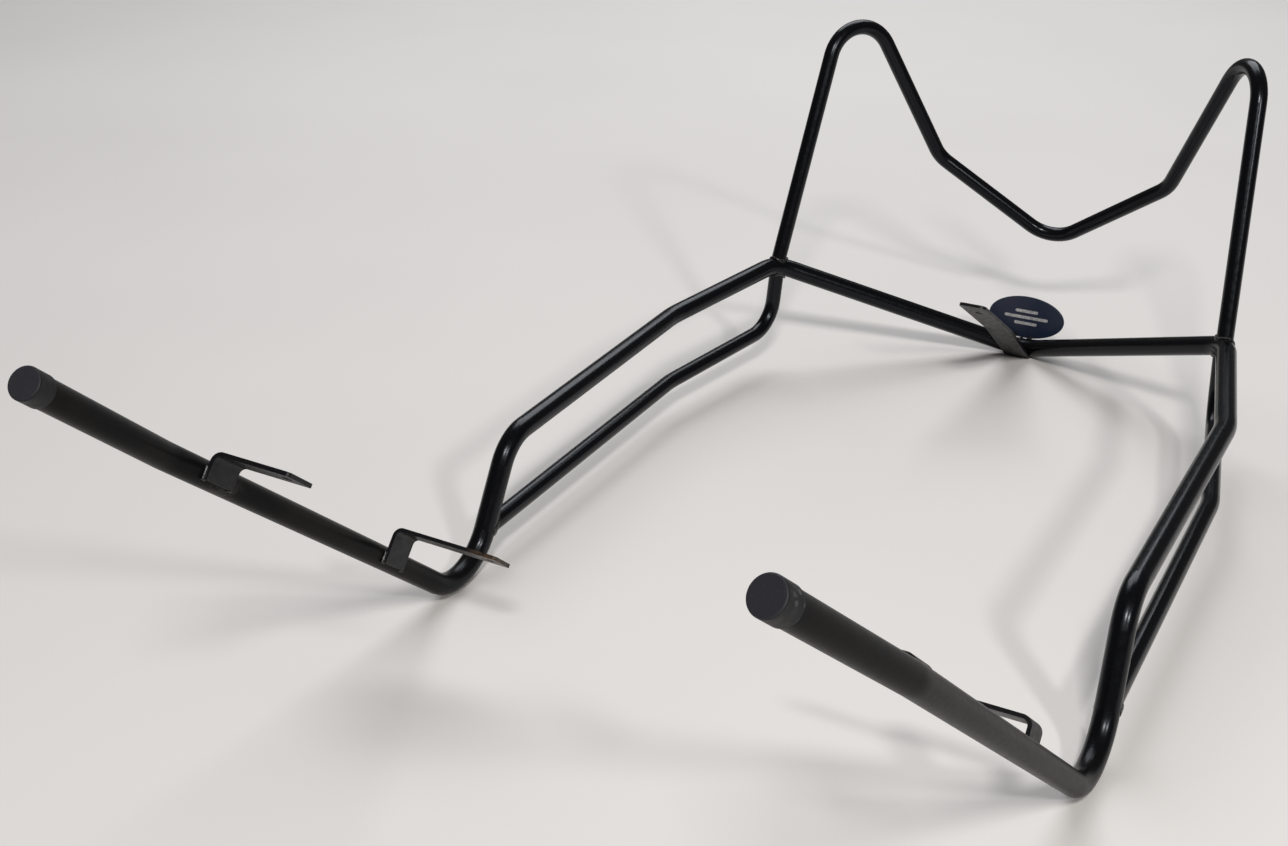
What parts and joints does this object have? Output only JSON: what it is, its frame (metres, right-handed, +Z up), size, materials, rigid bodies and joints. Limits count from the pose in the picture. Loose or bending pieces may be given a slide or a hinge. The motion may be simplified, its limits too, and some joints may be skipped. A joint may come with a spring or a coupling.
{
  "type": "tube luggage rack",
  "caption": "Welded round-tube carrier frame with two raised front arms, low side rails with braces, a W-shaped back loop and drilled flat-bar tabs.",
  "frame": {"origin": "on the floor under the middle of the rack's overall box", "axes": "+X across the rack to its right-hand arm, +Y from the arms towards the back loop, +Z up"},
  "size_m": [0.5686, 1.234, 0.3896],
  "materials": {
    "black_paint": "semi-gloss",
    "weld_paint": "semi-gloss over rough bead",
    "tab_paint": "satin, worn",
    "cap_plastic": "matte",
    "badge_navy": "satin",
    "badge_silver": "satin silver"
  },
  "bodies": {
    "root": {"right_main_tube": "black_paint", "left_main_tube": "black_paint", "back_loop": "black_paint", "right_brace": "black_paint", "left_brace": "black_paint", "right_end_cap": "cap_plastic", "left_end_cap": "cap_plastic", "right_loop_foot_weld": "weld_paint", "left_loop_foot_weld": "weld_paint", "right_brace_top_weld": "weld_paint", "left_brace_top_weld": "weld_paint", "right_brace_front_weld": "weld_paint", "left_brace_front_weld": "weld_paint", "right_front_tab": "tab_paint", "left_front_tab": "tab_paint", "right_rear_tab": "tab_paint", "left_rear_tab": "tab_paint", "right_front_tab_welds": "weld_paint", "left_front_tab_welds": "weld_paint", "right_rear_tab_welds": "weld_paint", "left_rear_tab_welds": "weld_paint", "centre_tab": "tab_paint", "crossbar_butt_weld": "weld_paint", "badge_plate": "badge_navy", "badge_bars": "badge_silver", "badge_tack_welds": "weld_paint"}
  },
  "joints": []
}
